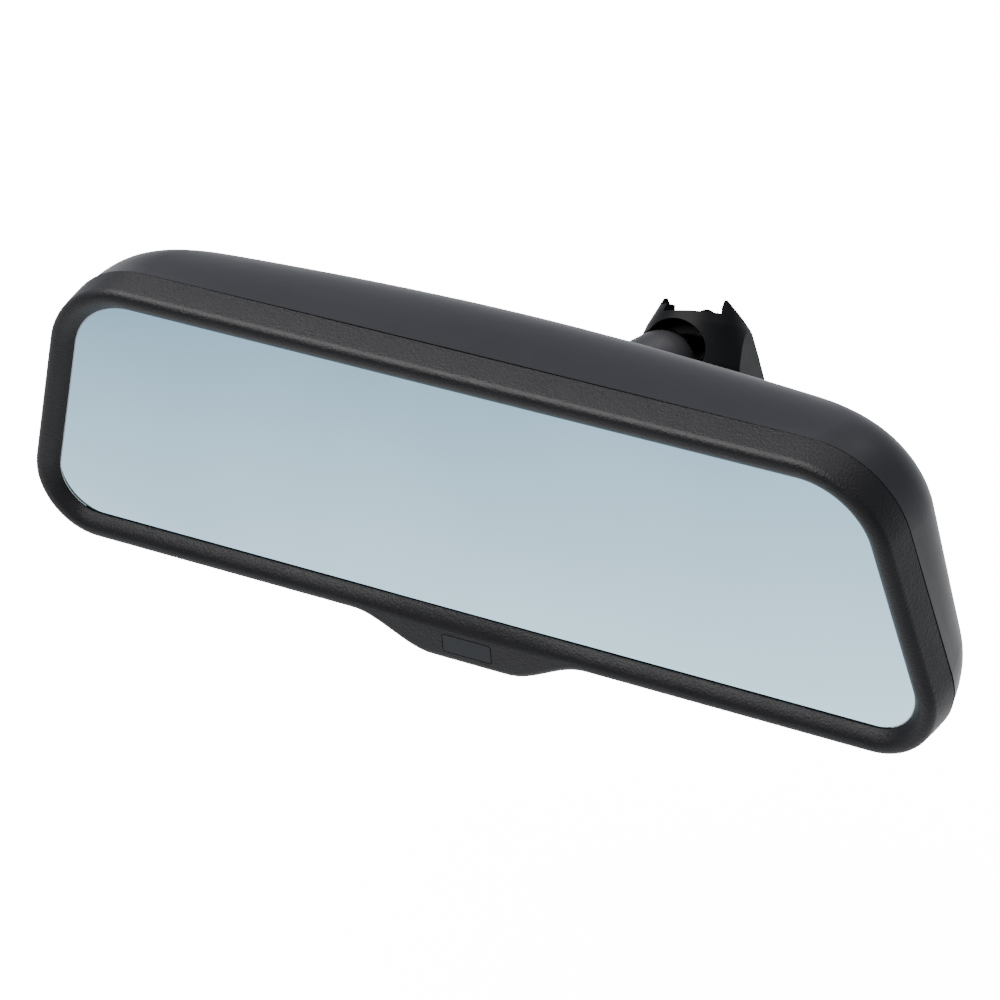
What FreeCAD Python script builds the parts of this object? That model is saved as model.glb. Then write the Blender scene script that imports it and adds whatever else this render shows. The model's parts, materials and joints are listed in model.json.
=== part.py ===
"""Interior rearview mirror with an automatic dimming glass, on a double-ball arm and a windscreen foot.

Millimetres, +Z up. The origin is the centre of the foot's socket mouth, where the windscreen
button sits. The glass faces -Y and its long side runs along X. The head pieces are drawn about
the centre of the glass, the arm pieces along the line between the two ball centres, and the foot
pieces about the axis of the socket; each piece's Placement then puts it in its place.
"""
import FreeCAD, Part

import math
import os

import Sketcher
from FreeCAD import Placement, Rotation, Vector

DRIVING_SIZES = {
    # where the glass centre lies from the socket mouth
    "head_x": -20.9, "head_y": -82.9, "head_z": -8.95,
    # opening of the bezel: half height, flats between corner centres, corner radii
    "half_height": 32.0, "top_flat": 89.2, "bottom_flat": 106.6,
    "top_corner": 18.6, "bottom_corner": 10.6,
    # bezel
    "bezel_rim": 6.55, "bezel_front": 3.2, "bezel_back": 6.4, "bezel_draft": 3.5,
    "bezel_edge": 2.0, "lip_deep": 2.85, "lip_slope": 53.0, "seat_grow": 2.6,
    "chin_shoulder": 26.5, "chin_root": 3.0, "chin_flat": 13.0, "chin_drop": 46.0,
    "chin_concave": 16.0, "chin_convex": 7.0,
    "window_wide": 13.6, "window_high": 5.3, "window_top": 37.3, "window_thick": 1.4,
    # dimming glass sandwich
    "front_glass_grow": 2.0, "front_glass_thick": 2.0, "gel_thick": 0.3, "gel_grow": -0.6,
    "seal_grow": 1.0, "rear_glass_grow": 1.4, "rear_glass_thick": 2.0,
    "clip_metal": 0.3, "clip_deep": 4.0, "upper_clip_half": 84.0, "lower_clip_half": 100.0,
    "foam_grow": -3.5, "foam_thick": 1.2,
    "carrier_grow": 2.0, "carrier_thick": 2.0, "carrier_window_half": 30.0,
    # electronics
    "board_half": 50.0, "board_low": -27.0, "board_high": 9.0, "board_y": 10.6, "board_thick": 1.6,
    "sensor_half": 3.5, "flex_y": 9.0, "header_end": 37.0, "header_floor": 24.0, "header_wall": 1.3,
    "chip_size": 7.0, "chip_thick": 1.4, "capacitor_tall": 5.4, "capacitor_round": 2.5,
    # rear housing
    "housing_start": 6.9, "housing_deep": 33.1, "housing_wall": 2.2, "housing_cap": 0.97,
    "plan_power": 4.2, "plan_round": 0.443, "rise_power": 2.17, "rise_round": 0.137,
    "lower_narrowing": 0.06, "top_corner_loss": 0.2, "bottom_corner_gain": 0.24,
    "crown_start": 0.3, "crown_gain": 2.95, "crown_power": 0.67,
    "reveal_step": 0.5, "reveal_deep": 0.5, "housing_chin_deep": 15.0, "housing_chin_slope": 20.0,
    "chin_hollow_deep": 8.0, "carrier_back": 7.5, "boss_long": 29.0, "screw_long": 12.0,
    "screw_head_thick": 1.2, "pilot_deep": 1.4,
    "cable_x": -34.0, "cable_wide": 17.0, "cable_high": 11.0,
    "screw_x": 62.0, "screw_z": 16.0, "screw_shank": 1.5, "screw_head": 2.8, "boss_round": 3.6,
    "ball_opening": 16.5, "lens_x": 43.0, "lens_round": 4.0, "lens_start": 15.4, "lens_long": 23.2,
    # head ball joint
    "ball_depth": 33.2, "head_ball": 8.5, "liner_inner": 8.8, "liner_outer": 10.0,
    "ring_inner": 10.3, "ring_outer": 11.6, "cup_inner": 11.9, "cup_outer": 13.4,
    "liner_mouth": 66.0, "cup_mouth": 76.0, "flange_round": 24.0, "flange_thick": 1.6,
    "flange_screw_circle": 19.5,
    # arm
    "stem_round": 5.5, "stem_end": 9.0, "tube_start": 20.0, "tube_round": 9.1, "knob_inner": 7.9,
    "tube_bore": 7.0, "wire_bore": 2.6, "spigot_round": 4.4, "disc_outer": 6.7, "disc_inner": 3.4,
    "disc_thick": 0.5, "spring_seat_thick": 1.2, "tube_floor": 2.0,
    # foot: ball centre from the socket mouth, and the stud that carries the ball
    "foot_ball_out": 9.7, "foot_ball_drop": 13.4, "foot_ball": 6.0,
    "foot_cup_inner": 6.3, "foot_cup_outer": 7.6, "knob_mouth": 42.0,
    "stud_round": 2.6, "stud_spigot": 2.0, "stud_reach": 11.2, "stud_end": 14.3,
    "stud_boss_round": 4.2, "stud_boss_end": 15.4,
    # foot: how the bell's axis leans
    "foot_turn": 17.35, "foot_lean": 42.3, "foot_twist": -53.3,
    # foot: socket for the windscreen button
    "socket_round": 8.0, "socket_deep": 3.5, "web_thick": 1.8, "clip_recess_round": 6.2,
    "clip_recess_deep": 0.7, "clip_ring_thick": 0.5, "clip_ring_inner": 4.2, "clip_gap_half": 1.5,
    "rivet_round": 0.6, "rivet_high": 0.2,
    # foot: bell outline, from the claws down
    "claw_high": 3.9, "claw_step": 2.1, "claw_tip": 9.6, "claw_thick": 0.7, "shoulder_round": 13.0,
    "shoulder_drop": 2.8, "waist_round": 16.9, "waist_drop": 13.3, "bell_round": 19.0,
    "bell_bottom": 23.0, "bell_wall": 2.6, "bell_softness": 4.0,
    # foot: valleys between the claws, counted from the left claw's start, and the bump in the near one
    "step_start": -97.0, "near_valley": -80.0, "right_claw": 10.5, "right_claw_end": 75.5,
    "left_claw": 235.5, "bump_turn": -18.0, "bump_round": 2.6, "bump_drop": 1.7,
    # foot: slanting cuts, as direction, slope and distance of their planes from the origin
    "claw_cut_turn": 65.5, "claw_cut_slope": 46.0, "claw_cut_far": 6.9,
    "facet_turn": 39.2, "facet_slope": 10.0, "facet_far": 12.4,
    # foot: opening for the arm
    "arm_gap": 0.35, "tunnel_round": 12.2,
    "arch_turn": -59.5, "arch_start": 8.6, "arch_drop": 12.3, "arch_round": 10.2,
}

doc = FreeCAD.newDocument("rearview_mirror")
sheet = doc.addObject("Spreadsheet::Sheet", "sizes")
for row, (alias, number) in enumerate(DRIVING_SIZES.items(), start=1):
    sheet.set(f"A{row}", alias)
    sheet.set(f"B{row}", str(number))
    sheet.setAlias(f"B{row}", alias)
doc.recompute()

PIECES = []


def size(formula):
    """The value of a formula of the sheet's aliases, written as in an expression."""
    return float(sheet.evalExpression(formula))


def bound(formula):
    """The same formula as other objects write it, with the sheet's name before each alias."""
    words = []
    word = ""
    for letter in formula + " ":
        if letter.isalnum() or letter == "_":
            word += letter
            continue
        if word:
            words.append(f"sizes.{word}" if word in DRIVING_SIZES else word)
            word = ""
        words.append(letter)
    return "".join(words).strip()


def bind(target, **formulas):
    """Binds properties to the sheet; a double underscore in a name stands for a dot."""
    for name, formula in formulas.items():
        target.setExpression(name.replace("__", "."), bound(formula))


def keep(piece, label):
    """Marks an object as one finished piece of the mirror."""
    piece.Label = label
    PIECES.append(piece)
    return piece


# ---------------------------------------------------------------- frames of the three assemblies

HEAD = Vector(size("head_x"), size("head_y"), size("head_z"))
FOOT_TURN = Rotation(Vector(0, 0, 1), size("foot_turn"))
FOOT_LEAN = Rotation(Vector(1, 0, 0), -size("foot_lean"))
FOOT_TWIST = Rotation(Vector(0, 0, 1), size("foot_twist"))
FOOT = Placement(Vector(0, 0, 0), FOOT_TURN * FOOT_LEAN * FOOT_TWIST)
FOOT_BALL_LOCAL = Vector(0, -size("foot_ball_out"), -size("foot_ball_drop"))
FOOT_BALL = FOOT.multVec(FOOT_BALL_LOCAL)
HEAD_BALL = HEAD + Vector(0, size("ball_depth"), 0)
ARM_VECTOR = FOOT_BALL - HEAD_BALL
ARM_LENGTH = ARM_VECTOR.Length
ARM_DIRECTION = Vector(ARM_VECTOR) / ARM_LENGTH
ARM = Placement(HEAD_BALL, Rotation(Vector(0, 0, 1), ARM_DIRECTION))
ARM_IN_FOOT = FOOT.Rotation.inverted().multVec(ARM_DIRECTION)


def in_head(piece):
    """Binds a head piece's place to the glass centre."""
    bind(piece, Placement__Base__x="head_x", Placement__Base__y="head_y", Placement__Base__z="head_z")
    return piece


# ---------------------------------------------------------------- sketch and body helpers

def plane(body, role):
    return next(item for item in body.Origin.OriginFeatures if item.Role == role)


def new_body(name):
    return doc.addObject("PartDesign::Body", name)


def new_sketch(body, name, depth="0", role="XZ_Plane"):
    """A sketch on an origin plane of the body, moved along Y (XZ), Z (XY) or X (YZ) by depth."""
    drawing = body.newObject("Sketcher::SketchObject", name)
    drawing.AttachmentSupport = (plane(body, role), [""])
    drawing.MapMode = "FlatFace"
    sign = "-" if role == "XZ_Plane" else ""
    bind(drawing, AttachmentOffset__Base__z=f"{sign}({depth})")
    return drawing


def rounded_outline(drawing, high, top_flat, bottom_flat, top_radius, bottom_radius, crown=None):
    """Mirror outline: four rounded corners, slanting sides, level bottom edge, level or crowned top.

    A crown is how far the top corners lie below the middle of the top edge, which is then one wide arc.
    """
    top, bottom = size(high), -size(high)
    top_half, bottom_half = size(top_flat), size(bottom_flat)
    radii = (size(top_radius), size(bottom_radius))
    drop = size(crown) if crown else 0
    centres = ((top_half, top - radii[0] - drop), (bottom_half, bottom + radii[1]))
    crown_turn = 0
    if crown:
        crown_radius = f"{top_radius} + (({top_flat})^2 + ({crown})^2) / (2*({crown}))"
        crown_turn = math.atan2(top_half, size(crown_radius) - radii[0] - drop)
    gap = Vector(centres[1][0] - centres[0][0], centres[1][1] - centres[0][1])
    side = math.atan2(gap.y, gap.x) + math.pi / 2 - math.asin((radii[0] - radii[1]) / gap.Length)
    out = Vector(math.cos(side), math.sin(side))

    def rim(corner, mirror):
        return Vector(mirror * (centres[corner][0] + radii[corner] * out.x),
                      centres[corner][1] + radii[corner] * out.y)

    def arc(corner, mirror, start, end):
        centre = Vector(mirror * centres[corner][0], centres[corner][1])
        return Part.ArcOfCircle(Part.Circle(centre, Vector(0, 0, 1), radii[corner]), start, end)

    if crown:
        middle = Vector(0, top - size(crown_radius))
        top_edge = Part.ArcOfCircle(Part.Circle(middle, Vector(0, 0, 1), size(crown_radius)),
                                    math.pi / 2 - crown_turn, math.pi / 2 + crown_turn)
    else:
        top_edge = Part.LineSegment(Vector(top_half, top), Vector(-top_half, top))
    shape = [
        top_edge,
        arc(0, -1, math.pi / 2 + crown_turn, math.pi - side),
        Part.LineSegment(rim(0, -1), rim(1, -1)),
        arc(1, -1, math.pi - side, 1.5 * math.pi),
        Part.LineSegment(Vector(-bottom_half, bottom), Vector(bottom_half, bottom)),
        arc(1, 1, -math.pi / 2, side),
        Part.LineSegment(rim(1, 1), rim(0, 1)),
        arc(0, 1, side, math.pi / 2 - crown_turn),
    ]
    first = drawing.GeometryCount
    drawing.addGeometry(shape, False)
    rules = []
    for step in range(8):
        rules.append(Sketcher.Constraint("Tangent", first + step, 2, first + (step + 1) % 8, 1))
    rules.append(Sketcher.Constraint("Symmetric", first, 1, first, 2, -2))
    rules.append(Sketcher.Constraint("Symmetric", first + 4, 1, first + 4, 2, -2))
    drawing.addConstraint(rules)
    sized = [
        (Sketcher.Constraint("DistanceY", first + 4, 1, -1, 1, -bottom), high),
        (Sketcher.Constraint("DistanceX", first + 4, 1, first + 4, 2, 2 * bottom_half),
         f"2*({bottom_flat})"),
        (Sketcher.Constraint("Radius", first + 1, radii[0]), top_radius),
        (Sketcher.Constraint("Radius", first + 7, radii[0]), top_radius),
        (Sketcher.Constraint("Radius", first + 3, radii[1]), bottom_radius),
        (Sketcher.Constraint("Radius", first + 5, radii[1]), bottom_radius),
    ]
    if crown:
        sized += [
            (Sketcher.Constraint("DistanceY", first, 3, -1, 1, -middle.y), f"{crown_radius} - ({high})"),
            (Sketcher.Constraint("Radius", first, size(crown_radius)), crown_radius),
            (Sketcher.Constraint("DistanceX", -1, 1, first + 7, 3, top_half), top_flat),
        ]
    else:
        sized += [
            (Sketcher.Constraint("DistanceY", -1, 1, first, 1, top), high),
            (Sketcher.Constraint("DistanceX", first, 2, first, 1, 2 * top_half), f"2*({top_flat})"),
        ]
    for rule, formula in sized:
        index = drawing.addConstraint(rule)
        drawing.setExpression(f"Constraints[{index}]", bound(formula))


def grown_outline(drawing, grow):
    """The bezel opening's outline, moved outwards by grow on every side."""
    rounded_outline(drawing, f"half_height + {grow}", "top_flat", "bottom_flat",
                    f"top_corner + {grow}", f"bottom_corner + {grow}")


def box_sketch(drawing, left, right, low, high):
    """A rectangle whose four sides are bound to formulas of the sheet."""
    corners = [Vector(size(x), size(z)) for x, z in
               ((left, low), (right, low), (right, high), (left, high))]
    first = drawing.GeometryCount
    drawing.addGeometry([Part.LineSegment(corners[i], corners[(i + 1) % 4]) for i in range(4)], False)
    rules = [Sketcher.Constraint("Coincident", first + i, 2, first + (i + 1) % 4, 1) for i in range(4)]
    rules += [Sketcher.Constraint("Horizontal", first), Sketcher.Constraint("Horizontal", first + 2),
              Sketcher.Constraint("Vertical", first + 1), Sketcher.Constraint("Vertical", first + 3)]
    drawing.addConstraint(rules)
    for kind, line, formula in (("DistanceX", 0, left), ("DistanceX", 1, right),
                                ("DistanceY", 0, low), ("DistanceY", 2, high)):
        index = drawing.addConstraint(
            Sketcher.Constraint(kind, -1, 1, first + line, 1, size(formula)))
        drawing.setExpression(f"Constraints[{index}]", bound(formula))


def polygon_sketch(drawing, points):
    """A closed polygon; each corner is a pair of formulas of the sheet."""
    corners = [Vector(size(across), size(up)) for across, up in points]
    count = len(corners)
    first = drawing.GeometryCount
    lines = [Part.LineSegment(corners[i], corners[(i + 1) % count]) for i in range(count)]
    drawing.addGeometry(lines, False)
    drawing.addConstraint([Sketcher.Constraint("Coincident", first + i, 2, first + (i + 1) % count, 1)
                           for i in range(count)])
    for i, (across, up) in enumerate(points):
        for kind, formula in (("DistanceX", across), ("DistanceY", up)):
            index = drawing.addConstraint(Sketcher.Constraint(kind, -1, 1, first + i, 1, size(formula)))
            drawing.setExpression(f"Constraints[{index}]", bound(formula))


def circle_sketch(drawing, spots, radius):
    """Equal circles about spots, each spot a pair of formulas of the sheet."""
    for across, up in spots:
        centre = Vector(size(across), size(up))
        ring = drawing.addGeometry(Part.Circle(centre, Vector(0, 0, 1), size(radius)), False)
        for rule, formula in (
            (Sketcher.Constraint("DistanceX", -1, 1, ring, 3, centre.x), across),
            (Sketcher.Constraint("DistanceY", -1, 1, ring, 3, centre.y), up),
            (Sketcher.Constraint("Radius", ring, size(radius)), radius),
        ):
            index = drawing.addConstraint(rule)
            drawing.setExpression(f"Constraints[{index}]", bound(formula))


def pad(body, drawing, length, towards_back=True, taper=None, solid="PartDesign::Pad"):
    """Pads or pockets a drawing by length; towards_back means +Y for a drawing on XZ."""
    feature = body.newObject(solid, f"{drawing.Name}_{solid[12:].lower()}")
    feature.Profile = drawing
    bind(feature, Length=length)
    on_front = drawing.AttachmentSupport[0][0].Role == "XZ_Plane"
    feature.Reversed = (towards_back == on_front) != (solid == "PartDesign::Pocket")
    if taper:
        bind(feature, TaperAngle=taper)
    drawing.Visibility = False
    doc.recompute()
    return feature


def pocket(body, drawing, length, towards_back=True, taper=None):
    """Cuts a drawing into the body and makes sure that it cut something."""
    before = body.Shape.Volume
    feature = pad(body, drawing, length, towards_back, taper, solid="PartDesign::Pocket")
    if not body.Shape.Volume < before - 1e-3:
        raise RuntimeError(f"{feature.Name} cuts nothing")
    return feature


def round_edges(body, radius, chosen):
    """Fillets the edges of the body's tip that chosen accepts."""
    base = body.Tip
    names = [f"Edge{i}" for i, edge in enumerate(base.Shape.Edges, start=1) if chosen(edge)]
    if not names:
        raise RuntimeError(f"{body.Name} has no edge to round")
    feature = body.newObject("PartDesign::Fillet", f"{base.Name}_round")
    feature.Base = (base, names)
    bind(feature, Radius=radius)
    doc.recompute()
    return feature


def slab(label, grow, front, thick):
    """A flat sheet with the mirror outline, from front towards the back."""
    body = new_body(label)
    drawing = new_sketch(body, f"{label}_outline", front)
    grown_outline(drawing, grow)
    pad(body, drawing, thick)
    return keep(in_head(body), label)


# ---------------------------------------------------------------- plain solids

def primitive(kind, **formulas):
    item = doc.addObject(f"Part::{kind}", kind.lower())
    bind(item, **formulas)
    return item


def block(left, right, front, back, low, high):
    """A box between formulas along X, Y and Z."""
    return primitive("Box", Length=f"({right}) - ({left})", Width=f"({back}) - ({front})",
                     Height=f"({high}) - ({low})", Placement__Base__x=left,
                     Placement__Base__y=front, Placement__Base__z=low)


def rod(radius, length, start=Vector(0, 0, 0), along=Vector(0, 0, 1)):
    item = primitive("Cylinder", Radius=radius, Height=length)
    item.Placement = Placement(start, Rotation(Vector(0, 0, 1), along))
    return item


def cone(low_radius, high_radius, length, start=Vector(0, 0, 0), along=Vector(0, 0, 1)):
    item = primitive("Cone", Radius1=low_radius, Radius2=high_radius, Height=length)
    item.Placement = Placement(start, Rotation(Vector(0, 0, 1), along))
    return item


def ball(radius, centre=Vector(0, 0, 0)):
    item = primitive("Sphere", Radius=radius)
    item.Placement = Placement(centre, Rotation())
    return item


def fuse(*items):
    joined = doc.addObject("Part::MultiFuse", "fuse")
    joined.Shapes = list(items)
    joined.Refine = True
    return joined


def group(*items):
    together = doc.addObject("Part::Compound", "group")
    together.Links = list(items)
    return together


def cut(base, *tools):
    result = doc.addObject("Part::Cut", "cut")
    result.Base = base
    result.Tool = tools[0] if len(tools) == 1 else fuse(*tools)
    return result


def place(piece, placement, label):
    piece.Placement = placement
    return keep(piece, label)


def ball_shell(outer, inner, mouth):
    """A hollow ball with a conical mouth towards +Z, of a half angle in degrees."""
    reach = f"{outer} + 4"
    return cut(ball(outer), ball(inner), cone("0", f"({reach}) * tan({mouth})", reach))


# ---------------------------------------------------------------- head: bezel and glass

def make_bezel():
    body = new_body("bezel")
    outline = new_sketch(body, "bezel_outline", "bezel_back")
    grown_outline(outline, "bezel_rim")
    full = "bezel_back + bezel_front"
    pad(body, outline, full, towards_back=False, taper="-bezel_draft")
    chin = new_sketch(body, "chin_outline", "bezel_back")
    root = "-(half_height + bezel_rim - 2)"
    polygon_sketch(chin, [("-chin_shoulder - chin_root", root), ("-chin_flat", "-chin_drop"),
                          ("chin_flat", "-chin_drop"), ("chin_shoulder + chin_root", root)])
    pad(body, chin, full, towards_back=False, taper="-bezel_draft")
    floor = -size("half_height + bezel_rim")

    def across(edge):
        box = edge.BoundBox
        return box.YLength > 5 and box.XMax < 45 and box.XMin > -45

    round_edges(body, "chin_concave", lambda edge: across(edge) and edge.BoundBox.ZMin > floor - 2)
    round_edges(body, "chin_convex", lambda edge: across(edge) and edge.BoundBox.ZMax < floor - 3)
    front = -size("bezel_front")
    round_edges(body, "bezel_edge", lambda edge: edge.BoundBox.YMax < front + 0.01)
    opening = new_sketch(body, "opening_outline", "bezel_back")
    grown_outline(opening, "0")
    pocket(body, opening, "bezel_back + bezel_front + 1", towards_back=False)
    seat = new_sketch(body, "seat_outline", "bezel_back")
    grown_outline(seat, "seat_grow")
    pocket(body, seat, "bezel_back", towards_back=False)

    lip = new_sketch(body, "lip_outline", "-bezel_front")
    grown_outline(lip, "lip_deep * tan(lip_slope)")
    pocket(body, lip, "lip_deep", taper="-lip_slope")
    window = new_sketch(body, "window_recess", "window_thick - bezel_front")
    box_sketch(window, "-window_wide/2", "window_wide/2", "-window_top - window_high", "-window_top")
    pocket(body, window, "window_thick + 1", towards_back=False)
    sight = new_sketch(body, "sensor_sight", "bezel_back")
    box_sketch(sight, "-window_wide/2 + 1.5", "window_wide/2 - 1.5",
               "-window_top - window_high + 1.2", "-window_top - 0.8")
    pocket(body, sight, "bezel_back + bezel_front", towards_back=False)
    keep(in_head(body), "bezel")


def make_glass():
    slab("front_glass", "front_glass_grow", "0", "front_glass_thick")
    slab("dimming_gel", "gel_grow", "front_glass_thick", "gel_thick")
    seal = new_body("perimeter_seal")
    ring = new_sketch(seal, "seal_outline", "front_glass_thick")
    grown_outline(ring, "seal_grow")
    grown_outline(ring, "gel_grow")
    pad(seal, ring, "gel_thick")
    keep(in_head(seal), "perimeter_seal")
    slab("rear_glass", "rear_glass_grow", "front_glass_thick + gel_thick", "rear_glass_thick")
    for name, sign, half in (("upper_bus_clip", "", "upper_clip_half"),
                             ("lower_bus_clip", "-", "lower_clip_half")):
        body = new_body(name)
        drawing = new_sketch(body, f"{name}_section", f"-{half}", "YZ_Plane")
        inner = "front_glass_thick + gel_thick"
        outer = f"{inner} + rear_glass_thick"
        edge = "half_height + rear_glass_grow"
        levels = [(inner, edge), (outer, edge), (outer, f"{edge} - clip_deep"),
                  (f"{outer} + clip_metal", f"{edge} - clip_deep"),
                  (f"{outer} + clip_metal", f"{edge} + clip_metal"), (inner, f"{edge} + clip_metal")]
        polygon_sketch(drawing, [(depth, f"{sign}({level})") for depth, level in levels])
        pad(body, drawing, f"2*{half}")
        keep(in_head(body), name)
    behind = "front_glass_thick + gel_thick + rear_glass_thick"
    slab("foam_pad", "foam_grow", behind, "foam_thick")


def make_carrier():
    """Plastic tray behind the glass, with a window for wires and posts for the circuit board."""
    body = new_body("carrier_plate")
    front = "front_glass_thick + gel_thick + rear_glass_thick + foam_thick"
    plate = new_sketch(body, "carrier_outline", front)
    grown_outline(plate, "carrier_grow")
    pad(body, plate, "carrier_thick")
    gap = new_sketch(body, "carrier_window", front)
    box_sketch(gap, "-carrier_window_half", "carrier_window_half", "-6", "6")
    pocket(body, gap, "carrier_thick")
    corners = [(f"{x}*(board_half - 4)", z) for x in (-1, 1) for z in ("board_low + 4", "board_high - 4")]
    posts = new_sketch(body, "board_posts", f"{front} + carrier_thick")
    circle_sketch(posts, corners, "2.2")
    pad(body, posts, f"board_y - ({front}) - carrier_thick")
    holes = new_sketch(body, "carrier_screw_holes", front)
    circle_sketch(holes, mirrored_spots("screw_x", "screw_z"), "screw_shank + 0.2")
    pocket(body, holes, "carrier_thick")
    seats = new_sketch(body, "carrier_screw_seats", front)
    circle_sketch(seats, mirrored_spots("screw_x", "screw_z"), "screw_head + 0.2")
    pocket(body, seats, "screw_head_thick")
    keep(in_head(body), "carrier_plate")


def make_sensor_window():
    body = new_body("sensor_window")
    drawing = new_sketch(body, "window_pane", "-bezel_front")
    box_sketch(drawing, "-window_wide/2 + 0.15", "window_wide/2 - 0.15",
               "-window_top - window_high + 0.15", "-window_top - 0.15")
    pad(body, drawing, "window_thick")
    keep(in_head(body), "sensor_window")


# ---------------------------------------------------------------- head: electronics

def make_electronics():
    """Circuit board with its parts, the two light sensors and the connector at the back."""
    board = new_body("circuit_board")
    drawing = new_sketch(board, "board_outline", "board_y")
    box_sketch(drawing, "-board_half", "board_half", "board_low", "board_high")
    pad(board, drawing, "board_thick")
    keep(in_head(board), "circuit_board")

    back = "board_y + board_thick"
    chips = [block(f"{x} - chip_size/2", f"{x} + chip_size/2", back, f"{back} + chip_thick",
                   f"{z} - chip_size/2", f"{z} + chip_size/2")
             for x, z in (("-6", "-20"), ("26", "-12"), ("34", "2"))]
    keep(in_head(group(*chips)), "controller_chips")
    cans = [rod("capacitor_round", "capacitor_tall", Vector(x, size(back), z), Vector(0, 1, 0))
            for x, z in ((-18, -14), (-11, 4), (18, 3))]
    keep(in_head(group(*cans)), "capacitors")

    flex = block("-sensor_half", "sensor_half", "flex_y", "flex_y + 0.6", "-chin_drop + 3", "-30")
    lead = block("-sensor_half", "sensor_half", "flex_y", "board_y", "-30", "-29.4")
    rise = block("-sensor_half", "sensor_half", "board_y - 0.6", "board_y", "-29.4", "board_low + 4")
    keep(in_head(fuse(flex, lead, rise)), "sensor_flex")
    middle = -size("window_top + window_high/2")
    glare = fuse(block("-3", "3", "bezel_back + 0.6", "flex_y", "-chin_drop + 3", "-38"),
                 rod("1.4", "1", Vector(0, size("bezel_back") - 0.2, middle), Vector(0, 1, 0)))
    keep(in_head(glare), "glare_sensor")

    seat = Vector(size("lens_x"), size(back), 0)
    sky = fuse(rod("2.4", "3", seat, Vector(0, 1, 0)),
               block("lens_x - 3", "lens_x + 3", back, f"{back} + 1", "-3", "3"))
    keep(in_head(sky), "sky_light_sensor")
    pipe = rod("lens_round", "lens_long", Vector(size("lens_x"), size("lens_start"), 0), Vector(0, 1, 0))
    keep(in_head(group(pipe)), "sky_lens")

    half_wide, half_high = "(cable_wide/2 - 0.4)", "(cable_high/2 - 0.4)"
    shroud = block(f"cable_x - {half_wide}", f"cable_x + {half_wide}", back, "header_end",
                   f"-{half_high}", half_high)
    cavity = block(f"cable_x - {half_wide} + header_wall", f"cable_x + {half_wide} - header_wall",
                   "header_floor", "header_end + 1", f"-{half_high} + header_wall",
                   f"{half_high} - header_wall")
    key = block("cable_x - 1.5", "cable_x + 1.5", "header_floor + 3", "header_end + 1",
                f"{half_high} - header_wall - 0.1", f"{half_high} - 0.5")
    keep(in_head(cut(shroud, cavity, key)), "connector_header")
    pins = [block(f"cable_x + {x} - 0.32", f"cable_x + {x} + 0.32", "header_floor", "header_floor + 6.5",
                  f"{z} - 0.32", f"{z} + 0.32") for x in (-4, -2, 0, 2, 4) for z in (-1.5, 1.5)]
    keep(in_head(group(*pins)), "connector_pins")


# ---------------------------------------------------------------- head: rear housing

LEVELS = (0, 0.16, 0.32, 0.48, 0.62, 0.74, 0.84, 0.92)
BACK_WALL = "housing_start + housing_deep * housing_cap - housing_wall"


def housing_outline(drawing, level, shrink):
    """Outline of the rear housing at a fraction of its depth: elliptic in plan, square in height."""
    plan = f"(1 - {level}^plan_power)^plan_round"
    lower_plan = f"{plan} * (1 - lower_narrowing*{level})"
    rise = f"((half_height + bezel_rim) * (1 - {level}^rise_power)^rise_round - {shrink})"
    top = f"((top_corner + bezel_rim) * (1 - top_corner_loss*{level}) - {shrink})"
    bottom = f"((bottom_corner + bezel_rim) * (1 + bottom_corner_gain*{level}) - {shrink})"
    rounded_outline(drawing, rise,
                    f"((top_flat + top_corner + bezel_rim) * {plan} - {top} - {shrink})",
                    f"((bottom_flat + bottom_corner + bezel_rim) * {lower_plan} - {bottom} - {shrink})",
                    top, bottom, f"(crown_start + crown_gain*{level}^crown_power)")


def housing_loft(body, name, shrink, solid):
    """Smooth skin through the outlines; shrink moves it inwards and forwards."""
    drawings = []
    for number, level in enumerate(LEVELS + (size("housing_cap"),)):
        drawing = new_sketch(body, f"{name}_section_{number}",
                             f"housing_start + housing_deep * {level} - {shrink}")
        housing_outline(drawing, str(level), shrink)
        drawings.append(drawing)
    doc.recompute()
    feature = body.newObject(solid, name)
    feature.Profile = drawings[0]
    feature.Sections = drawings[1:]
    doc.recompute()
    return feature


def mirrored_spots(across, up):
    return [(f"{x}*{across}", f"{z}*{up}") for x in (-1, 1) for z in (-1, 1)]


def flange_spots():
    """Three places on the socket plate's screw circle, as distances from the ball axis."""
    return [(f"flange_screw_circle * sin({turn})", f"flange_screw_circle * cos({turn})")
            for turn in (60, 180, 300)]


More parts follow.
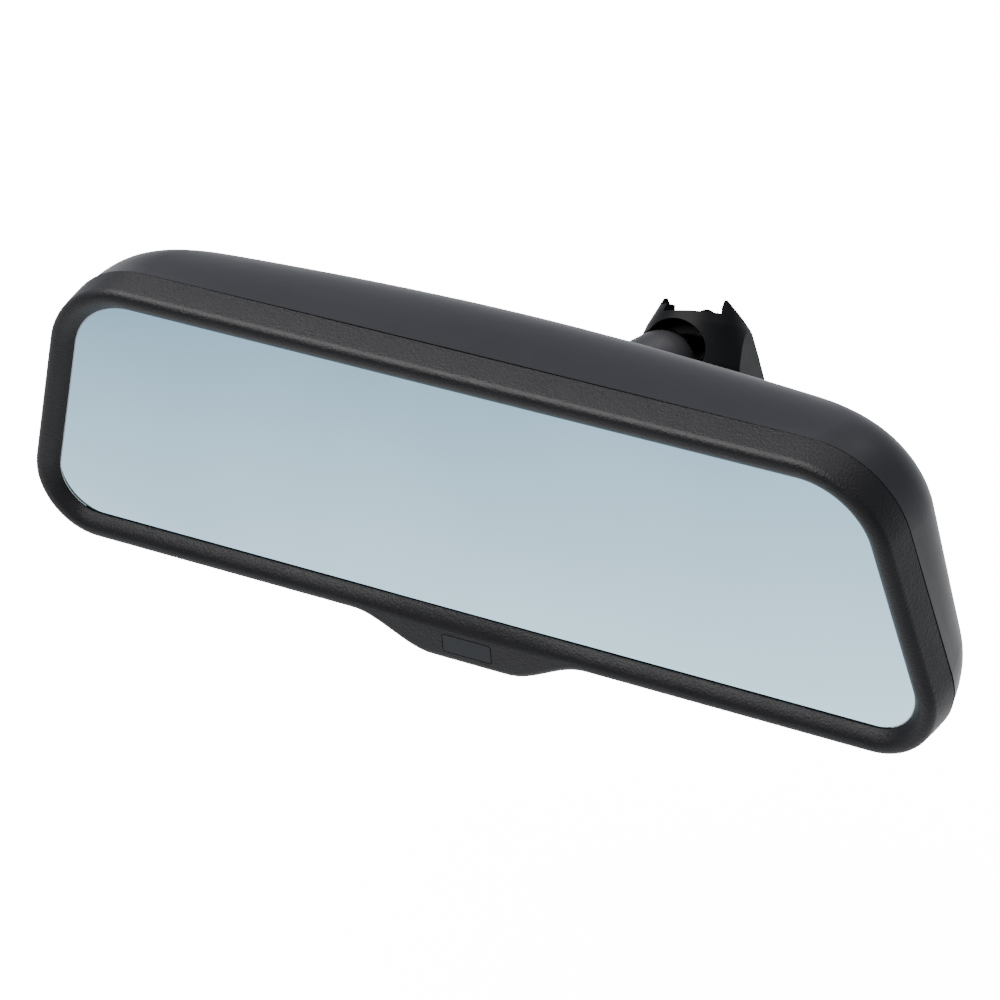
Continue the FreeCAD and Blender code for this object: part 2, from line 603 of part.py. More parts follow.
def make_housing():
    body = new_body("rear_housing")
    housing_loft(body, "housing_outside", "0", "PartDesign::AdditiveLoft")
    reveal = new_sketch(body, "reveal_outline", "housing_start")
    grown_outline(reveal, "bezel_rim - reveal_deep")
    pad(body, reveal, "reveal_step", towards_back=False)
    chin = new_sketch(body, "housing_chin_outline", "housing_start")
    polygon_sketch(chin, [("-chin_shoulder - 3", "-half_height"), ("-chin_flat", "-chin_drop"),
                          ("chin_flat", "-chin_drop"), ("chin_shoulder + 3", "-half_height")])
    pad(body, chin, "housing_chin_deep", taper="-housing_chin_slope")
    floor = -size("half_height + bezel_rim")

    def slanting(edge):
        box = edge.BoundBox
        return box.ZMax < floor + 1 and box.ZMin < floor - 2 and box.YLength > 4

    round_edges(body, "chin_convex", slanting)
    housing_loft(body, "housing_inside", "housing_wall", "PartDesign::SubtractiveLoft")
    hollow = new_sketch(body, "housing_chin_hollow", "bezel_back - 1")
    polygon_sketch(hollow, [("-chin_shoulder + 4", "-half_height + 4"), ("-chin_flat + 3", "2.4 - chin_drop"),
                            ("chin_flat - 3", "2.4 - chin_drop"), ("chin_shoulder - 4", "-half_height + 4")])
    pocket(body, hollow, "chin_hollow_deep")

    posts = new_sketch(body, "housing_posts", "carrier_back")
    circle_sketch(posts, mirrored_spots("screw_x", "screw_z"), "boss_round")
    pad(body, posts, "boss_long")
    pilots = new_sketch(body, "housing_pilots", "carrier_back")
    circle_sketch(pilots, mirrored_spots("screw_x", "screw_z"), "screw_shank")
    pocket(body, pilots, "screw_long - carrier_thick")

    way = new_sketch(body, "ball_way", f"{BACK_WALL} - 2")
    circle_sketch(way, [("0", "0")], "ball_opening")
    pocket(body, way, "housing_wall + 6")
    inlet = new_sketch(body, "cable_way", f"{BACK_WALL} - 4")
    box_sketch(inlet, "cable_x - cable_wide/2", "cable_x + cable_wide/2", "-cable_high/2", "cable_high/2")
    pocket(body, inlet, "housing_wall + 8")
    eye = new_sketch(body, "lens_way", f"{BACK_WALL} - 4")
    circle_sketch(eye, [("lens_x", "0")], "lens_round")
    pocket(body, eye, "housing_wall + 8")
    small = new_sketch(body, "socket_pilots", BACK_WALL)
    circle_sketch(small, flange_spots(), "screw_shank")
    pocket(body, small, "pilot_deep")
    keep(in_head(body), "rear_housing")


# ---------------------------------------------------------------- screws

def screw(spot, length):
    """Pan head screw seen from the front: the head lies in front of spot, the shank runs to +Y."""
    head = rod("screw_head", "screw_head_thick", spot - Vector(0, size("screw_head_thick"), 0),
               Vector(0, 1, 0))
    cross = [block(f"{spot.x} - {w}", f"{spot.x} + {w}", f"{spot.y} - screw_head_thick - 0.1",
                   f"{spot.y} - 0.5", f"{spot.z} - {h}", f"{spot.z} + {h}")
             for w, h in ((1.5, 0.3), (0.3, 1.5))]
    return cut(fuse(head, rod("screw_shank", length, spot, Vector(0, 1, 0))), *cross)


def make_screws():
    front = size("carrier_back - carrier_thick + screw_head_thick")
    spots = [Vector(x * size("screw_x"), front, z * size("screw_z")) for x in (-1, 1) for z in (-1, 1)]
    keep(in_head(group(*[screw(spot, "screw_long - screw_head_thick") for spot in spots])),
         "housing_screws")
    plate = size(f"{BACK_WALL} - flange_thick")
    spots = [Vector(size(x), plate, size(z)) for x, z in flange_spots()]
    keep(in_head(group(*[screw(spot, "flange_thick + pilot_deep") for spot in spots])), "socket_screws")


# ---------------------------------------------------------------- ball joint in the head

def make_head_joint():
    centre = Vector(0, size("ball_depth"), 0)
    back = Vector(0, 1, 0)
    plate = size(f"{BACK_WALL} - flange_thick")
    flange = rod("flange_round", "flange_thick", Vector(0, plate, 0), back)
    mouth = cone("0", "(cup_outer + 4) * tan(cup_mouth)", "cup_outer + 4", centre, back)
    holes = [rod("screw_shank", "flange_thick", Vector(size(x), plate, size(z)), back)
             for x, z in flange_spots()]
    cup = cut(fuse(ball("cup_outer", centre), flange), ball("cup_inner", centre), mouth, *holes)
    keep(in_head(cup), "socket_plate")
    place(ball_shell("ring_outer", "ring_inner", "liner_mouth"), ARM, "head_ring")
    place(ball_shell("liner_outer", "liner_inner", "liner_mouth"), ARM, "head_liner")
    sphere = cut(ball("head_ball"), rod("spigot_round", "20", Vector(0, 0, -2)),
                 rod("wire_bore", "24", Vector(0, 0, -12)), rod("stem_round + 0.1", "6", Vector(0, 0, 6.6)))
    place(sphere, ARM, "head_ball")


# ---------------------------------------------------------------- arm

DISC_COUNT = 6


def make_arm():
    far = ARM_LENGTH
    tube_long = far - size("tube_start")
    skin = fuse(rod("stem_round", "stem_end - 6.6 + 1", Vector(0, 0, 6.6)),
                rod("spigot_round", "9", Vector(0, 0, -2)),
                cone("stem_round", "tube_round", "tube_start - stem_end - 1",
                     Vector(0, 0, size("stem_end + 1"))),
                rod("tube_round", str(tube_long), Vector(0, 0, size("tube_start"))),
                ball("tube_round", Vector(0, 0, far)))
    floor = size("tube_start + tube_floor")
    mouth = cone("0", "(tube_round + 4) * tan(knob_mouth)", "tube_round + 4", Vector(0, 0, far))
    shell = cut(skin, ball("knob_inner", Vector(0, 0, far)),
                rod("tube_bore", str(far - floor), Vector(0, 0, floor)),
                rod("wire_bore", "40", Vector(0, 0, -3)), mouth)
    place(shell, ARM, "arm_tube")
    seat_top = far - size("knob_inner") - 0.4
    seat = cut(rod("tube_bore - 0.2", "spring_seat_thick",
                   Vector(0, 0, seat_top - size("spring_seat_thick"))),
               rod("wire_bore + 0.4", "20", Vector(0, 0, seat_top - 10)))
    place(group(seat), ARM, "spring_seat")
    thick = size("disc_thick")
    high = (seat_top - size("spring_seat_thick") - floor) / DISC_COUNT
    discs = []
    for number in range(DISC_COUNT):
        dome = fuse(rod("disc_outer", "disc_thick"),
                    cone("disc_outer", "disc_inner", str(high - thick), Vector(0, 0, thick)))
        disc = cut(dome, cone("disc_outer", "disc_inner", str(high - thick)),
                   rod("disc_inner", "10", Vector(0, 0, -1)))
        turned = number % 2
        disc.Placement = Placement(Vector(0, 0, floor + high * (number + turned)),
                                   Rotation(Vector(1, 0, 0), 180 * turned))
        discs.append(disc)
    place(group(*discs), ARM, "arm_spring")


# ---------------------------------------------------------------- foot

def foot_direction(turn, slope="0"):
    """Unit vector in the foot's frame, by its turn about the socket's axis and its slope above the mouth."""
    return Vector(size(f"cos({turn}) * cos({slope})"), size(f"sin({turn}) * cos({slope})"),
                  size(f"sin({slope})"))


def beyond_plane(turn, slope, far):
    """Everything on the outer side of a slanting plane, as a wide disc."""
    along = foot_direction(turn, slope)
    return rod("3*bell_round", "bell_bottom", along * size(far), along)


def valley(start, end, floor):
    """The sector above floor, between two turns about the socket's axis."""
    sector = primitive("Cylinder", Radius="2*shoulder_round", Height="2*claw_high",
                       Angle=f"({end}) - ({start})")
    sector.Placement = Placement(Vector(0, 0, size(floor)), Rotation(Vector(0, 0, 1), size(start)))
    return sector


def make_bell():
    """Turned bell with the button's socket on top."""
    body = new_body("foot_bell")
    drawing = new_sketch(body, "bell_profile", "0")
    web = "-socket_deep - web_thick"
    polygon_sketch(drawing, [
        ("socket_round", "claw_step"), ("claw_tip - claw_thick", "claw_high"), ("claw_tip", "claw_high"),
        ("shoulder_round", "-shoulder_drop"), ("waist_round", "-waist_drop"),
        ("bell_round", "-bell_bottom"), ("bell_round - bell_wall", "-bell_bottom"),
        ("waist_round - bell_wall", "-waist_drop"), ("shoulder_round - bell_wall", web),
        ("0", web), ("0", "-socket_deep - clip_recess_deep"),
        ("clip_recess_round", "-socket_deep - clip_recess_deep"),
        ("clip_recess_round", "-socket_deep"), ("socket_round", "-socket_deep")])
    turn = body.newObject("PartDesign::Revolution", "bell_turned")
    turn.Profile = drawing
    turn.ReferenceAxis = (drawing, ["V_Axis"])
    turn.Angle = 360
    drawing.Visibility = False
    doc.recompute()
    levels = (-size("shoulder_drop"), -size("waist_drop"))
    widths = (size("shoulder_round"), size("waist_round"))

    def outside_corner(edge):
        box = edge.BoundBox
        return box.ZLength < 0.01 and any(abs(box.ZMin - level) < 0.01 and abs(box.XMax - wide) < 0.01
                                          for level, wide in zip(levels, widths))

    round_edges(body, "bell_softness", outside_corner)
    return body


def make_foot():
    """Bell with a socket for the windscreen button on top and an arched opening for the arm at its side."""
    arm_out = ARM_IN_FOOT * -1
    side = foot_direction("arch_turn")
    across = foot_direction("arch_turn + 90")
    arch_start = side * size("arch_start") - Vector(0, 0, size("arch_drop"))
    below = primitive("Box", Length="2*bell_round", Width="2*arch_round", Height="bell_bottom")
    below.Placement = Placement(arch_start - across * size("arch_round") - Vector(0, 0, size("bell_bottom")),
                                Rotation(Vector(0, 0, 1), size("arch_turn")))
    opening = [ball("tube_round + arm_gap", FOOT_BALL_LOCAL),
               rod("tunnel_round", "3*bell_round", FOOT_BALL_LOCAL, arm_out),
               rod("arch_round", "2*bell_round", arch_start, side), below]
    valleys = [valley("step_start", "near_valley", "claw_step"), valley("near_valley", "right_claw", "0"),
               valley("right_claw_end", "left_claw", "0")]
    cuts = [beyond_plane("claw_cut_turn", "claw_cut_slope", "claw_cut_far"),
            beyond_plane("facet_turn", "facet_slope", "facet_far")]
    bump_out = foot_direction("bump_turn")
    bump = rod("bump_round", "claw_tip - socket_round",
               bump_out * size("socket_round + 0.1") - Vector(0, 0, size("bump_drop")), bump_out)
    boss_start = FOOT_BALL_LOCAL + ARM_IN_FOOT * size("stud_reach")
    boss = cut(rod("stud_boss_round", "stud_boss_end - stud_reach", boss_start, ARM_IN_FOOT),
               rod("socket_round", "bell_bottom",
                   Vector(0, 0, -size("socket_deep + clip_recess_deep + 0.3"))))
    hole = rod("stud_spigot", "stud_end - stud_reach", boss_start, ARM_IN_FOOT)
    casting = cut(fuse(cut(make_bell(), *opening, *valleys, *cuts), bump, boss), hole)
    place(casting, FOOT, "foot_casting")

    stud = fuse(ball("foot_ball"), rod("stud_round", "stud_reach"), rod("stud_spigot", "stud_end"))
    place(stud, Placement(FOOT_BALL, ARM.Rotation), "foot_ball_stud")
    place(ball_shell("foot_cup_outer", "foot_cup_inner", "knob_mouth"),
          Placement(FOOT_BALL, ARM.Rotation), "foot_cup")

    floor = Vector(0, 0, -size("socket_deep + clip_recess_deep"))
    ring = cut(rod("clip_recess_round - 0.1", "clip_ring_thick", floor),
               rod("clip_ring_inner", "clip_ring_thick", floor),
               block("0", "clip_recess_round", "-clip_gap_half", "clip_gap_half",
                     "-socket_deep - 2*clip_recess_deep", "0"))
    place(group(ring), FOOT, "retaining_clip")
    middle = size("clip_recess_round + clip_ring_inner") / 2
    heads = [rod("rivet_round", "rivet_high", floor + Vector(0, way * middle, size("clip_ring_thick")))
             for way in (-1, 1)]
    place(group(*heads), FOOT, "clip_rivets")


make_bezel()
make_glass()
make_carrier()
make_sensor_window()
make_electronics()
make_housing()
make_screws()
make_head_joint()
make_arm()
make_foot()

doc.recompute()
os.makedirs("parts", exist_ok=True)
for item in doc.Objects:
    if "Invalid" in item.State or "Error" in item.State:
        raise RuntimeError(f"{item.Label} failed: {item.State}")
for piece in PIECES:
    if piece.Shape.isNull() or not piece.Shape.isValid():
        raise RuntimeError(f"{piece.Label} has no valid shape")
for piece in PIECES:
    piece.Shape.exportStep(f"parts/{piece.Label}.step")
    print(piece.Label, len(piece.Shape.Solids), round(piece.Shape.Volume))
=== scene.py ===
"""Looks of an interior rearview mirror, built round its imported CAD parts. Metres, in the parts' frame."""
import json
import math

import bmesh
import bpy
from mathutils import Matrix, Vector


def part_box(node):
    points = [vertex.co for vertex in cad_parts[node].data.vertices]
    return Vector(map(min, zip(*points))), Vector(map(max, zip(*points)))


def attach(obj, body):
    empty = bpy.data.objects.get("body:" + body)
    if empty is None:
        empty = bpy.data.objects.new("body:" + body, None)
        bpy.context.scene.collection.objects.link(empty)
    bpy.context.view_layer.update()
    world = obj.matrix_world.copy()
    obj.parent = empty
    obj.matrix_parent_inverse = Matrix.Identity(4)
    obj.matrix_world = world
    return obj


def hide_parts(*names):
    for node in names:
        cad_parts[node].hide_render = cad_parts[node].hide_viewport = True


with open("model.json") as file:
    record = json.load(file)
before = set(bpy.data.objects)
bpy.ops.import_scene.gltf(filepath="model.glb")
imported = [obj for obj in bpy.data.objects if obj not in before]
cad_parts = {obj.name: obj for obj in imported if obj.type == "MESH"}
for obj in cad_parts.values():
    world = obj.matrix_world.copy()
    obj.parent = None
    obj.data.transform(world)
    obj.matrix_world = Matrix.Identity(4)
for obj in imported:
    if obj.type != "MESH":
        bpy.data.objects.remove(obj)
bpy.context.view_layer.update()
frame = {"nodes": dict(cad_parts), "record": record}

MM = 0.001

# Where the glass centre lies: the middle of the front glass, on its front face.
GLASS_LOW, GLASS_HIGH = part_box("front_glass")
HEAD = Vector(((GLASS_LOW.x + GLASS_HIGH.x) / 2, GLASS_LOW.y, (GLASS_LOW.z + GLASS_HIGH.z) / 2))

# The bezel's opening: half height, flats to the corner centres, corner radii. The glass reaches
# GLASS_GROW past it on every side, and the bezel's outer edge lies RIM outside it.
GLASS_GROW = 2.0 * MM
HALF_HEIGHT = (GLASS_HIGH.z - GLASS_LOW.z) / 2 - GLASS_GROW
TOP_FLAT, BOTTOM_FLAT = 89.2 * MM, 106.6 * MM
TOP_CORNER, BOTTOM_CORNER = 18.6 * MM, 10.6 * MM
RIM = 6.53 * MM
CHIN_DROP = -(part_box("bezel")[0].z - HEAD.z) - HALF_HEIGHT - RIM


# ---------------------------------------------------------------- node helpers

MATERIALS = {}


def new_material(name, **values):
    """A Principled material; values are set on the shader's own sockets, by name with underscores."""
    material = bpy.data.materials.new(name)
    material.use_nodes = True
    shader = material.node_tree.nodes["Principled BSDF"]
    for key, value in values.items():
        shader.inputs[key.replace("_", " ")].default_value = value
    MATERIALS[name] = material
    return material.node_tree, shader


def add(tree, kind, links=(), **settings):
    """One node; settings are its properties, links are (input name, source socket or value)."""
    node = tree.nodes.new(kind)
    for key, value in settings.items():
        setattr(node, key, value)
    for name, source in links:
        socket = node.inputs[name]
        if isinstance(source, bpy.types.NodeSocket):
            tree.links.new(source, socket)
        else:
            socket.default_value = source
    return node


def position(tree):
    """The point's place on the object."""
    return add(tree, "ShaderNodeTexCoord").outputs["Object"]


def noise(tree, where, size, detail=3.0, roughness=0.5):
    """Noise whose features are about size metres wide."""
    return add(tree, "ShaderNodeTexNoise", [("Vector", where), ("Scale", 1 / size), ("Detail", detail),
                                            ("Roughness", roughness)]).outputs["Fac"]


def ramp(tree, value, dark, light, low=0.3, high=0.7):
    """A value between low and high becomes a colour between dark and light."""
    node = add(tree, "ShaderNodeValToRGB", [("Fac", value)])
    for element, spot, colour in zip(node.color_ramp.elements, (low, high), (dark, light)):
        element.position = spot
        element.color = (*colour, 1)
    return node.outputs["Color"]


def spread(tree, value, low, high):
    """Maps 0..1 to low..high."""
    return add(tree, "ShaderNodeMapRange", [("Value", value), ("To Min", low), ("To Max", high)]).outputs[0]


def bump(tree, height, distance, strength=1.0, under=None):
    """A normal raised by height times distance, over an earlier one if there is one."""
    links = [("Height", height), ("Distance", distance), ("Strength", strength)]
    if under is not None:
        links.append(("Normal", under))
    return add(tree, "ShaderNodeBump", links).outputs["Normal"]


def feed(tree, shader, **sources):
    """Links sources to the shader's sockets, by name with underscores."""
    for key, source in sources.items():
        tree.links.new(source, shader.inputs[key.replace("_", " ")])


# ---------------------------------------------------------------- materials

SKIN_SIZE, SKIN_DEEP, SKIN_STRENGTH = 0.25 * MM, 0.01 * MM, 0.5
POLISH_SIZE = 5 * MM
SCRATCH_SIZE, SCRATCH_DEEP, STAIN_SIZE = 0.3 * MM, 0.006 * MM, 4 * MM


def plastic(name, dark, light, rough, grain=None, grain_deep=0.0, mottle=12 * MM, specular=0.16):
    """Moulded plastic: colour mottled between two tones, roughness that varies, a fine moulded texture."""
    tree, shader = new_material(name, Specular_IOR_Level=specular)
    where = position(tree)
    tone = noise(tree, where, mottle, 4.0)
    normal = bump(tree, noise(tree, where, SKIN_SIZE, 2.0), SKIN_DEEP, SKIN_STRENGTH)
    if grain:
        cells = add(tree, "ShaderNodeTexVoronoi", [("Vector", where), ("Scale", 1 / grain)],
                    feature="SMOOTH_F1").outputs["Distance"]
        normal = bump(tree, cells, grain_deep, under=normal)
    feed(tree, shader, Base_Color=ramp(tree, tone, dark, light),
         Roughness=spread(tree, noise(tree, where, POLISH_SIZE, 5.0), *rough), Normal=normal)


def metal(name, dark, light, rough, stretch=(1, 1, 1)):
    """Bare or plated metal with fine scratches, drawn out along an axis by stretch."""
    tree, shader = new_material(name, Metallic=1.0)
    where = add(tree, "ShaderNodeMapping", [("Vector", position(tree)), ("Scale", stretch)]).outputs[0]
    lines = noise(tree, where, SCRATCH_SIZE, 4.0, 0.6)
    stain = noise(tree, position(tree), STAIN_SIZE, 4.0)
    feed(tree, shader, Base_Color=ramp(tree, stain, dark, light),
         Roughness=spread(tree, lines, *rough), Normal=bump(tree, lines, SCRATCH_DEEP))


# The mirror's colour runs from dark to light by these shares across and down it, give or take its clouds: a
# painted reflection, darker at the top left and lighter towards the bottom and right.
MIRROR_DARK, MIRROR_LIGHT = (0.150, 0.262, 0.355), (0.480, 0.680, 0.775)
PAINTED_REFLECTION_ACROSS, PAINTED_REFLECTION_DOWN, TINT_CLOUD = (0.0, 0.3), (0.1, 0.7), 0.12
MIRROR_ROUGH, MIRROR_POLISH = (0.015, 0.03), 3 * MM


def mirror_glass(name):
    """Silvered glass, blue-grey, with a painted reflection: darker at the top left, lighter towards the
    bottom and right.
    """
    tree, shader = new_material(name, Metallic=1.0)
    where = position(tree)
    slide = add(tree, "ShaderNodeSeparateXYZ", [("Vector", where)])
    # Painted reflection: the colour grows lighter to the right and downwards, in place of the changing
    # brightness the glass reflects.
    along = add(tree, "ShaderNodeMapRange", [
        ("Value", slide.outputs["X"]), ("From Min", GLASS_LOW.x), ("From Max", GLASS_HIGH.x),
        ("To Min", PAINTED_REFLECTION_ACROSS[0]), ("To Max", PAINTED_REFLECTION_ACROSS[1])])
    down = add(tree, "ShaderNodeMapRange", [
        ("Value", slide.outputs["Z"]), ("From Min", GLASS_HIGH.z), ("From Max", GLASS_LOW.z),
        ("To Min", PAINTED_REFLECTION_DOWN[0]), ("To Max", PAINTED_REFLECTION_DOWN[1])])
    both = add(tree, "ShaderNodeMath", [(0, along.outputs[0]), (1, down.outputs[0])], operation="ADD")
    cloud = spread(tree, noise(tree, where, (GLASS_HIGH.x - GLASS_LOW.x) / 4, 2.0), -TINT_CLOUD, TINT_CLOUD)
    painted_reflection_and_cloud = add(tree, "ShaderNodeMath", [(0, cloud), (1, both.outputs[0])], operation="ADD")
    feed(tree, shader, Base_Color=ramp(tree, painted_reflection_and_cloud.outputs[0], MIRROR_DARK, MIRROR_LIGHT, 0.0, 1.0),
         Roughness=spread(tree, noise(tree, where, MIRROR_POLISH), *MIRROR_ROUGH))


GLASS_TINT, GLASS_TINT_SIZE, TINT_LIFT = (0.96, 0.98, 0.99), 60 * MM, 1.02
GLASS_ROUGH, GLASS_POLISH = (0.0, 0.006), 6 * MM


def clear_glass(name):
    """Clear glass or gel, with the faintest change of tint and polish."""
    tree, shader = new_material(name, Transmission_Weight=1.0, IOR=1.5)
    where = position(tree)
    lighter = tuple(min(1, part * TINT_LIFT) for part in GLASS_TINT)
    feed(tree, shader, Roughness=spread(tree, noise(tree, where, GLASS_POLISH), *GLASS_ROUGH),
         Base_Color=ramp(tree, noise(tree, where, GLASS_TINT_SIZE, 2.0), GLASS_TINT, lighter))


MASK_GREEN, MASK_LIGHTER, TRACK_GREEN = (0.01, 0.09, 0.04, 1), (0.012, 0.1, 0.045, 1), (0.03, 0.2, 0.09, 1)
TRACK_SCALE, TRACK_WIDE, TRACK_DEEP = 160.0, 0.08, 0.03 * MM
MASK_ROUGH, MASK_POLISH = (0.3, 0.45), 2 * MM


def board_material(name):
    """Green solder mask with paler lines where the tracks run under it."""
    tree, shader = new_material(name, Specular_IOR_Level=0.5)
    where = position(tree)
    tracks = add(tree, "ShaderNodeTexBrick", [
        ("Vector", where), ("Scale", TRACK_SCALE), ("Mortar Size", TRACK_WIDE), ("Color1", MASK_GREEN),
        ("Color2", MASK_LIGHTER), ("Mortar", TRACK_GREEN)])
    feed(tree, shader, Base_Color=tracks.outputs["Color"],
         Roughness=spread(tree, noise(tree, where, MASK_POLISH), *MASK_ROUGH),
         Normal=bump(tree, tracks.outputs["Fac"], TRACK_DEEP))


# Each by its slot in the record, as darkest tone, lightest tone and range of roughness. The near-black one
# below smoked_window is the one that no slot has: it paints shade into the gap round the window, and a
# reflection of the bezel's dark lower lip along the glass's lower edge.
plastic("grained_trim", (0.0030, 0.0027, 0.0034), (0.0048, 0.0043, 0.0053), (0.44, 0.56),
        grain=0.5 * MM, grain_deep=0.09 * MM, specular=0.2)
plastic("satin_housing", (0.0114, 0.0111, 0.0128), (0.0132, 0.0128, 0.0148), (0.34, 0.40),
        mottle=40 * MM)
plastic("black_plastic", (0.012, 0.012, 0.012), (0.018, 0.018, 0.018), (0.45, 0.6))
plastic("arm_plastic", (0.0200, 0.0198, 0.0218), (0.0240, 0.0238, 0.0260), (0.40, 0.48))
plastic("foot_plastic", (0.0016, 0.0016, 0.0019), (0.0026, 0.0026, 0.0030), (0.40, 0.50), specular=0.07)
plastic("liner_nylon", (0.012, 0.012, 0.013), (0.02, 0.02, 0.021), (0.35, 0.5))
plastic("connector_plastic", (0.012, 0.012, 0.013), (0.02, 0.02, 0.021), (0.4, 0.55))
plastic("seal_grey", (0.34, 0.36, 0.37), (0.42, 0.44, 0.45), (0.5, 0.6))
plastic("smoked_window", (0.0065, 0.0075, 0.0105), (0.0085, 0.0098, 0.0135), (0.3, 0.36))
# Near-black: painted shade in the gap round the window, and a painted reflection of the bezel's lower lip
# along the glass's lower edge.
plastic("painted_dark_line", (0.0005, 0.0005, 0.0005), (0.001, 0.001, 0.001), (0.6, 0.8), specular=0.02)
plastic("foam", (0.03, 0.03, 0.03), (0.06, 0.06, 0.06), (0.85, 0.95), grain=0.8 * MM, grain_deep=0.3 * MM)
plastic("chip_black", (0.015, 0.015, 0.016), (0.022, 0.022, 0.023), (0.55, 0.7))
plastic("flex_amber", (0.35, 0.16, 0.03), (0.45, 0.22, 0.05), (0.25, 0.35))
plastic("sensor_clear", (0.35, 0.35, 0.37), (0.45, 0.45, 0.47), (0.15, 0.25))
clear_glass("clear_glass")
clear_glass("dimming_gel")
mirror_glass("mirror_glass")
board_material("board_green")
metal("can_metal", (0.6, 0.6, 0.62), (0.75, 0.75, 0.77), (0.2, 0.35))
metal("plated_metal", (0.5, 0.5, 0.5), (0.62, 0.62, 0.61), (0.25, 0.4), stretch=(1, 1, 8))
metal("spring_steel", (0.3, 0.3, 0.31), (0.42, 0.42, 0.43), (0.25, 0.4))
metal("ball_steel", (0.05, 0.05, 0.055), (0.09, 0.09, 0.095), (0.12, 0.2))
metal("zinc_screw", (0.12, 0.12, 0.13), (0.22, 0.22, 0.23), (0.3, 0.45))

for part in frame["record"]["subparts"]:
    mesh = frame["nodes"][part["node"]].data
    mesh.materials.clear()
    mesh.materials.append(MATERIALS[part["material_slot"]])


# ---------------------------------------------------------------- mirror outline

COUNTS = {"top": 72, "top_corner": 28, "side": 20, "bottom_corner": 22, "bottom": 112}
SAME_SPOT, SHARP_FROM = 0.0001 * MM, math.radians(38)


def steps(first, last, count):
    """Evenly spaced values from first, ending one step before last."""
    return [first + (last - first) * i / count for i in range(count)]


def arc(centre, radius, first, last, count):
    """Points on a circle, from the angle first to one step before last."""
    return [centre + radius * Vector((math.cos(angle), math.sin(angle)))
            for angle in steps(first, last, count)]


def outline(grow):
    """Points (x, z) of the mirror's outline moved outwards by grow: clockwise from the top's right end."""
    top, bottom = HALF_HEIGHT + grow, -HALF_HEIGHT - grow
    top_r, bottom_r = TOP_CORNER + grow, BOTTOM_CORNER + grow
    upper, lower = Vector((TOP_FLAT, top - top_r)), Vector((BOTTOM_FLAT, bottom + bottom_r))
    gap = lower - upper
    side = math.atan2(gap.y, gap.x) + math.pi / 2 - math.asin((top_r - bottom_r) / gap.length)
    rim = Vector((math.cos(side), math.sin(side)))
    right = arc(upper, top_r, math.pi / 2, side, COUNTS["top_corner"])
    right += [(upper + rim * top_r).lerp(lower + rim * bottom_r, share)
              for share in steps(0, 1, COUNTS["side"])]
    right += arc(lower, bottom_r, side, -math.pi / 2, COUNTS["bottom_corner"])
    right.append(Vector((BOTTOM_FLAT, bottom)))
    left = [Vector((-p.x, p.y)) for p in reversed(right)]
    bottom_edge = [Vector((x, bottom)) for x in steps(BOTTOM_FLAT, -BOTTOM_FLAT, COUNTS["bottom"])[1:]]
    top_edge = [Vector((x, top)) for x in steps(-right[0].x, right[0].x, COUNTS["top"])[1:]]
    return right + bottom_edge + left + top_edge


def skin(name, rings, capped=False):
    """A mesh through closed rings of points, all with the same count; both ends may be capped."""
    mesh = bmesh.new()
    rows = [[mesh.verts.new(HEAD + Vector(point)) for point in ring] for ring in rings]
    count = len(rows[0])
    for near, far in zip(rows, rows[1:]):
        for i in range(count):
            mesh.faces.new((near[i], near[(i + 1) % count], far[(i + 1) % count], far[i]))
    if capped:
        mesh.faces.new(list(reversed(rows[0])))
        mesh.faces.new(rows[-1])
    bmesh.ops.remove_doubles(mesh, verts=mesh.verts, dist=SAME_SPOT)
    bmesh.ops.recalc_face_normals(mesh, faces=mesh.faces)
    data = bpy.data.meshes.new(name)
    mesh.to_mesh(data)
    mesh.free()
    data.shade_smooth()
    data.set_sharp_from_angle(angle=SHARP_FROM)
    made = bpy.data.objects.new(name, data)
    bpy.context.scene.collection.objects.link(made)
    return made


def level_ring(grow, y):
    """The outline moved outwards by grow, at one depth."""
    return [(p.x, y, p.y) for p in outline(grow)]


def finish_piece(piece, node, slot_name):
    """Gives a piece of the head its material and puts it in the place of a CAD node."""
    piece.data.materials.append(MATERIALS[slot_name])
    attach(piece, "head")
    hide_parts(node)


# ---------------------------------------------------------------- front glass

GLASS_THICK = GLASS_HIGH.y - GLASS_LOW.y
EDGE_ROUND = 0.4 * MM

# The front face outside LINE_IN shows next to the bezel's lip as a thin line: grey, and near-black along
# the bottom, up to BOTTOM_LINE above the opening's lower edge, where the near-black is a painted reflection
# of the bezel's dark lower lip.
LINE_OUT, LINE_IN, BOTTOM_LINE = 0.2 * MM, -0.3 * MM, 1 * MM
ON_FACE = 0.01 * MM

front_pane = skin("mirror_pane", [
    level_ring(GLASS_GROW - EDGE_ROUND, GLASS_THICK), level_ring(GLASS_GROW, GLASS_THICK - EDGE_ROUND),
    level_ring(GLASS_GROW, EDGE_ROUND), level_ring(GLASS_GROW - EDGE_ROUND, 0.0),
    level_ring(LINE_OUT, 0.0), level_ring(LINE_IN, 0.0)], capped=True)
finish_piece(front_pane, "front_glass", "mirror_glass")
front_pane.data.materials.append(MATERIALS["seal_grey"])
front_pane.data.materials.append(MATERIALS["painted_dark_line"])
for face in front_pane.data.polygons:
    if abs(face.center.y - HEAD.y) < ON_FACE and len(face.vertices) == 4:
        along_bottom = face.center.z - HEAD.z < -HALF_HEIGHT + BOTTOM_LINE
        # Index 2, near-black along the bottom, is the painted reflection of the lower lip.
        face.material_index = 2 if along_bottom else 1


# ---------------------------------------------------------------- bezel and sensor window

BEZEL_LOW, BEZEL_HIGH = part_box("bezel")
WINDOW_LOW, WINDOW_HIGH = (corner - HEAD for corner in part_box("sensor_window"))
FRONT, BACK = BEZEL_LOW.y - HEAD.y, BEZEL_HIGH.y - HEAD.y

